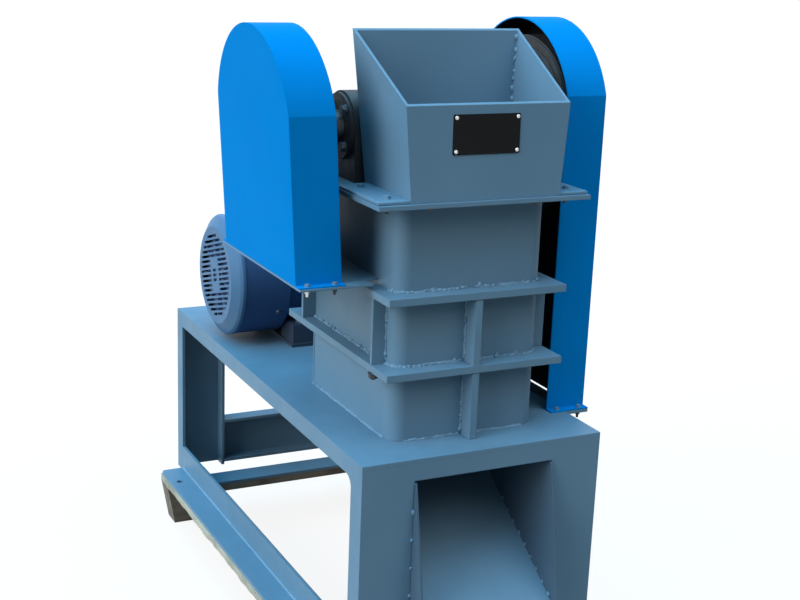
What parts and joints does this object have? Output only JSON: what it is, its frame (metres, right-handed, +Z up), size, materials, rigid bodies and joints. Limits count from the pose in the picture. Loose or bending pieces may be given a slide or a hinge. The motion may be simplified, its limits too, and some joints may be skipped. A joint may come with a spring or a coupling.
{
  "type": "laboratory jaw crusher",
  "caption": "Laboratory jaw crusher: ribbed welded body with open feed hopper, belt drive and flywheel under arched guards, motor behind, on a plate stand with a front discharge chute.",
  "frame": {"origin": "on the floor, under the middle of the machine's footprint", "axes": "+X to the right seen from the discharge side, +Y to the back where the motor stands, +Z up"},
  "size_m": [0.474, 0.829, 0.9209],
  "materials": {
    "plate_paint": "satin",
    "guard_paint": "satin",
    "timber": "rough sawn",
    "dark_casting": "as cast",
    "jaw_steel": "as cast",
    "shaft_steel": "turned",
    "motor_paint": "satin",
    "cowl_paint": "satin",
    "belt_rubber": "matt"
  },
  "bodies": {
    "machine": {"top_plate": "plate_paint", "front_panel": "plate_paint", "left_rear_leg": "plate_paint", "right_rear_leg": "plate_paint", "rear_cross_beam": "plate_paint", "chute_left_side": "plate_paint", "chute_right_side": "plate_paint", "chute_floor": "plate_paint", "left_base_rail": "plate_paint", "right_base_rail": "plate_paint", "rear_base_crossbar": "plate_paint", "body_shell": "plate_paint", "rear_wall": "plate_paint", "lower_ring": "plate_paint", "upper_ring": "plate_paint", "top_flange": "plate_paint", "front_ribs": "plate_paint", "side_ribs": "plate_paint", "left_guard_bracket": "plate_paint", "right_guard_bracket": "plate_paint", "hopper": "plate_paint", "left_guard": "guard_paint", "right_guard": "guard_paint", "left_skid_board": "timber", "right_skid_board": "timber", "rear_skid_board": "timber", "rear_skid_bearer": "timber", "front_skid_bearer": "timber", "left_bearing_housing": "dark_casting", "right_bearing_housing": "dark_casting", "swing_jaw": "dark_casting", "toggle_plate": "dark_casting", "toggle_seat": "dark_casting", "motor_pulley": "dark_casting", "fixed_jaw_plate": "jaw_steel", "swing_jaw_plate": "jaw_steel", "left_cheek_plate": "jaw_steel", "right_cheek_plate": "jaw_steel", "motor_body": "motor_paint", "motor_base": "motor_paint", "motor_fan_cowl": "cowl_paint", "drive_belts": "belt_rubber"},
    "rotor": {"eccentric_shaft": "shaft_steel", "flywheel": "dark_casting", "drive_pulley": "dark_casting"}
  },
  "joints": [
    {"name": "rotor_spin", "type": "hinge", "parent": "machine", "child": "rotor", "pos_m": [0, -0.1335, 0.774], "axis": [1, 0, 0], "continuous": true}
  ]
}
